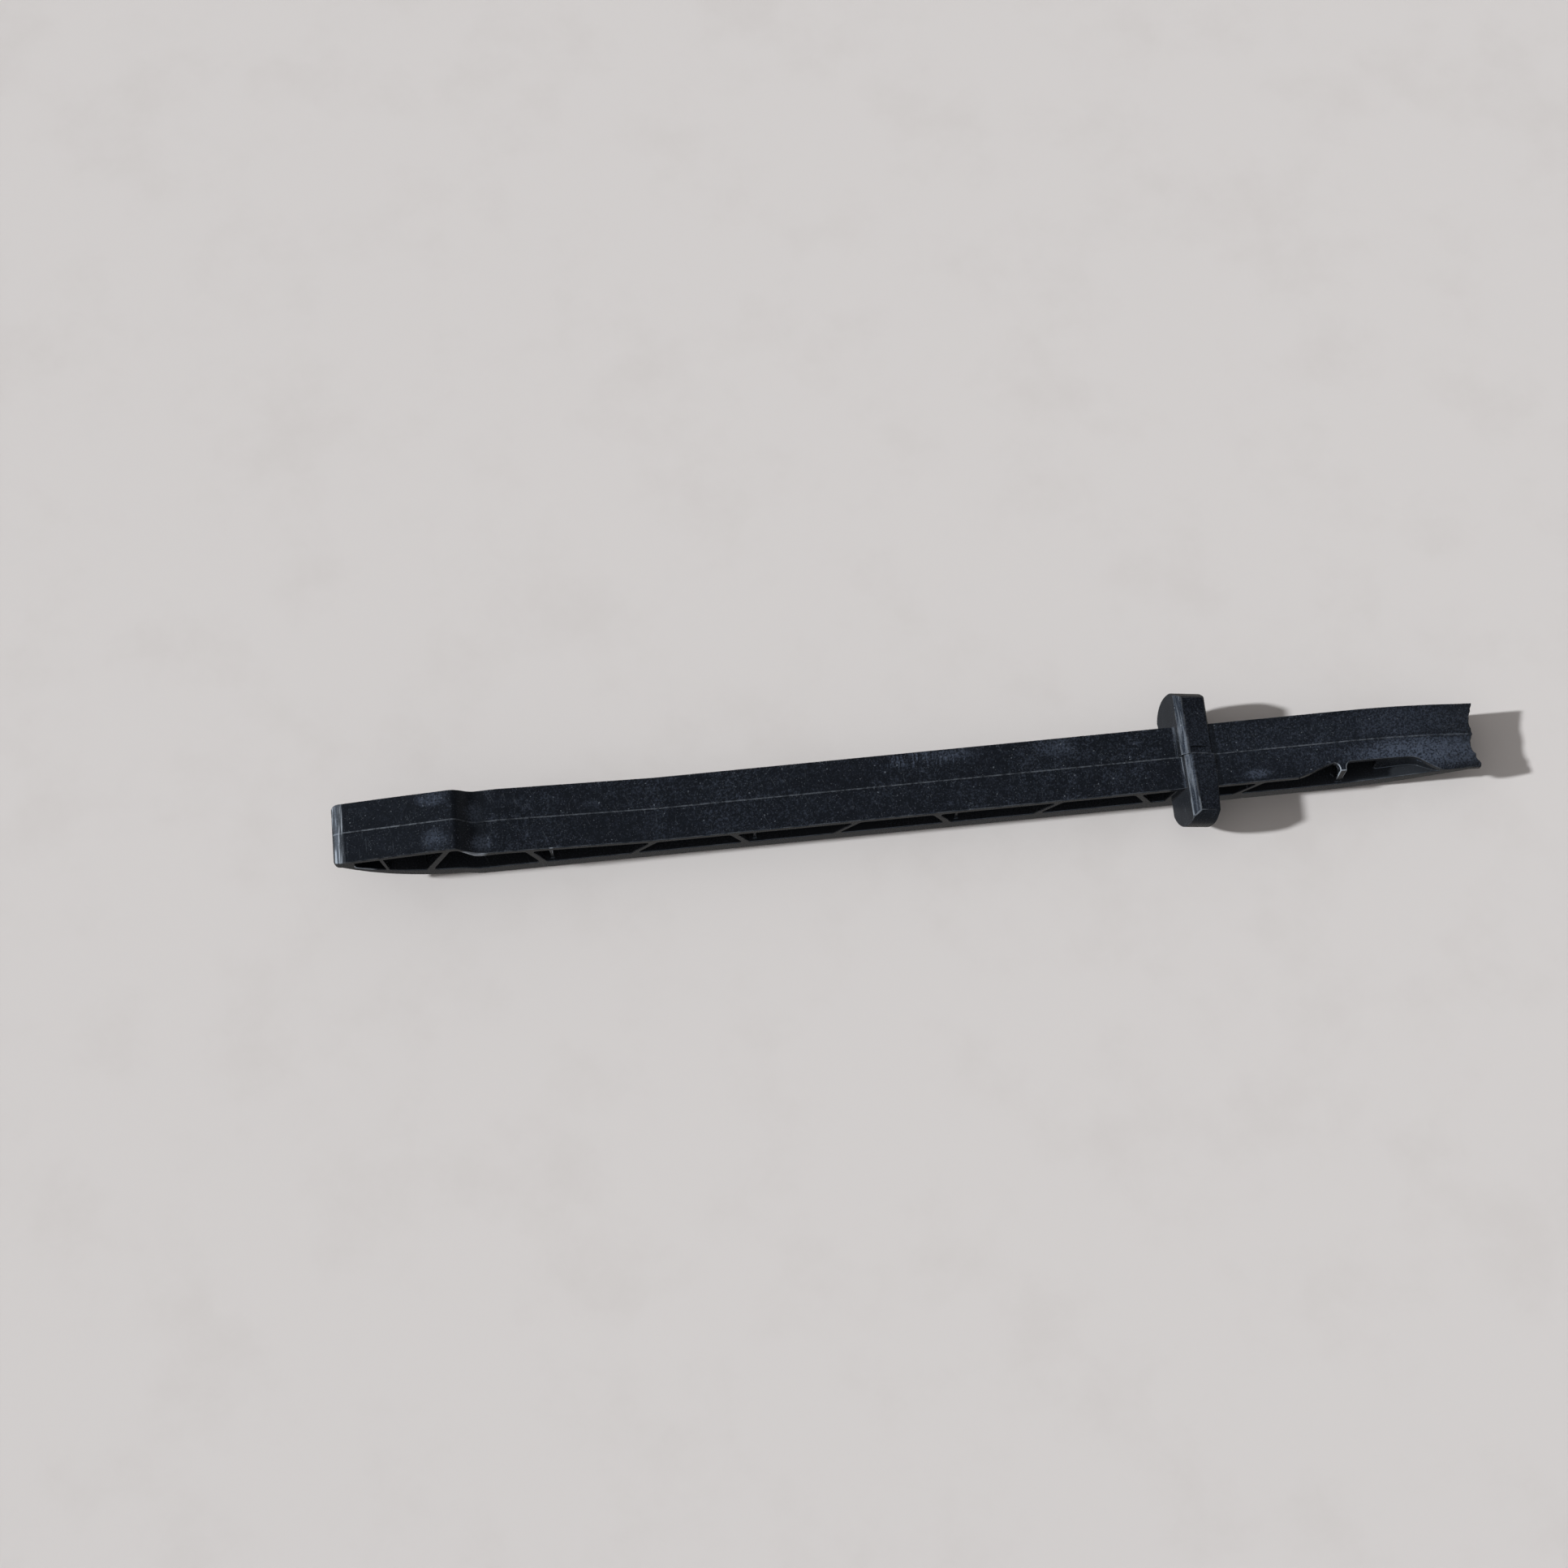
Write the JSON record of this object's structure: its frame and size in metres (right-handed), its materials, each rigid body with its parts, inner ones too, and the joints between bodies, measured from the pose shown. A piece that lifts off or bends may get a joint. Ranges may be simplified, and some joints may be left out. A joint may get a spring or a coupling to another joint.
{
  "type": "timing chain guide",
  "caption": "Long black moulded rail with a trussed side, a cross lug that hangs it in a block recess and a lipped underside that steers a timing chain.",
  "frame": {"origin": "middle of the rail's length and width, at the level of the lip edges that it stands on", "axes": "+X along the rail from the nose to the tail, +Y away from the scalloped edge, +Z from the running lips to the back"},
  "size_m": [0.2404, 0.029, 0.0164],
  "materials": {
    "nylon": "semi-matt black moulding, dusty and lightly scuffed"
  },
  "bodies": {
    "root": {"guide_rail": "nylon"}
  },
  "joints": []
}
